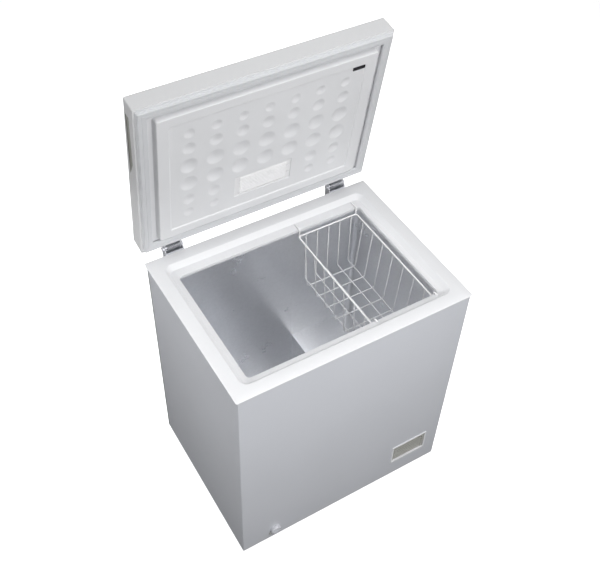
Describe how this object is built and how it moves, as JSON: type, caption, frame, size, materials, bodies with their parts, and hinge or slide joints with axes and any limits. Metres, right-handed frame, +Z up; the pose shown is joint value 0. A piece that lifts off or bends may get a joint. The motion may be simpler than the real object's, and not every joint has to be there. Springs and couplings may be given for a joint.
{
  "type": "chest freezer",
  "caption": "Upright-sided chest freezer with a hinged foam-filled lid standing open, a metal-lined well with a step over the compressor bay, and a sliding wire basket.",
  "frame": {"origin": "on the floor, at the middle of the footprint of the freezer with its lid open (the bottom centre of its bounding box at rest); the middle of the cabinet alone is 25 mm nearer the front", "axes": "+X to the right seen from the front, +Y to the back, +Z up"},
  "size_m": [0.73, 0.6162, 1.3616],
  "materials": {
    "silver_steel": "satin",
    "rear_steel": "matte",
    "white_steel": "satin",
    "galvanised_steel": "satin",
    "zinc_steel": "satin",
    "spring_steel": "satin",
    "black_enamel": "gloss",
    "liner_aluminium": "satin",
    "tube_aluminium": "satin",
    "tube_copper": "satin",
    "foam": "matte",
    "white_plastic": "satin",
    "silver_plastic": "satin",
    "grey_plastic": "matte",
    "black_plastic": "matte",
    "lamp_plastic": "satin",
    "green_lens": "gloss",
    "dark_badge": "gloss",
    "white_rubber": "matte",
    "black_rubber": "matte",
    "coated_wire": "gloss"
  },
  "bodies": {
    "cabinet": {"base_plate": "galvanised_steel", "bay_lining": "galvanised_steel", "blanking_plug": "grey_plastic", "cabinet_foam": "foam", "capillary_tube": "tube_copper", "compressor_bolts": "zinc_steel", "compressor_bushes": "black_rubber", "compressor_mount_plate": "galvanised_steel", "compressor_shell": "black_enamel", "compressor_terminal_cover": "black_plastic", "condenser_tubes": "tube_copper", "control_bezel": "white_plastic", "cord_gland": "black_plastic", "discharge_line": "tube_copper", "drain_tube": "grey_plastic", "evaporator_tube": "tube_aluminium", "feet": "black_rubber", "filter_drier": "tube_copper", "front_panel": "silver_steel", "grille_screws": "zinc_steel", "hinge_bracket_screws": "zinc_steel", "hinge_brackets": "zinc_steel", "hinge_pins": "zinc_steel", "hinge_springs": "spring_steel", "indicator_lenses": "green_lens", "left_panel": "silver_steel", "liner_back_wall": "liner_aluminium", "liner_corner_strips": "liner_aluminium", "liner_floor": "liner_aluminium", "liner_front_wall": "liner_aluminium", "liner_left_wall": "liner_aluminium", "liner_right_wall": "liner_aluminium", "liner_step_side": "liner_aluminium", "liner_step_top": "liner_aluminium", "rear_grille": "rear_steel", "rear_panel": "rear_steel", "right_panel": "silver_steel", "suction_line": "tube_copper", "thermostat_body": "black_plastic", "top_frame": "white_plastic", "vent_bezel": "white_plastic", "vent_louvre": "grey_plastic"},
    "lid": {"hinge_leaves": "zinc_steel", "hinge_leaf_screws": "zinc_steel", "lid_outer_shell": "white_steel", "lid_inner_panel": "white_plastic", "lid_foam": "foam", "lid_gasket": "white_rubber", "lid_side_grips": "grey_plastic", "lamp_cover": "lamp_plastic", "lamp_board": "grey_plastic", "badge_plate": "dark_badge"},
    "basket": {"basket_rim": "coated_wire", "basket_long_wires": "coated_wire", "basket_cross_wires": "coated_wire", "basket_hooks": "coated_wire"},
    "thermostat_dial": {"thermostat_knob": "grey_plastic"},
    "drain_cap_body": {"drain_cap": "silver_plastic"},
    "drain_plug_body": {"drain_plug": "white_plastic"}
  },
  "joints": [
    {"name": "lid_hinge", "type": "hinge", "parent": "cabinet", "child": "lid", "pos_m": [0, 0.25962, 0.8065], "axis": [-1, 0, 0], "range_deg": [-81.55, 6]},
    {"name": "basket_slide", "type": "slide", "parent": "cabinet", "child": "basket", "axis": [1, 0, 0], "range_m": [-0.375, 0]},
    {"name": "thermostat_turn", "type": "hinge", "parent": "cabinet", "child": "thermostat_dial", "pos_m": [0.3595, -0.18568, 0.128], "axis": [1, 0, 0], "range_deg": [0, 280]},
    {"name": "drain_cap_pull", "type": "slide", "parent": "cabinet", "child": "drain_cap_body", "axis": [0, -1, 0], "range_m": [0, 0.02]},
    {"name": "drain_plug_lift", "type": "slide", "parent": "cabinet", "child": "drain_plug_body", "axis": [0, 0, 1], "range_m": [0, 0.02]}
  ]
}
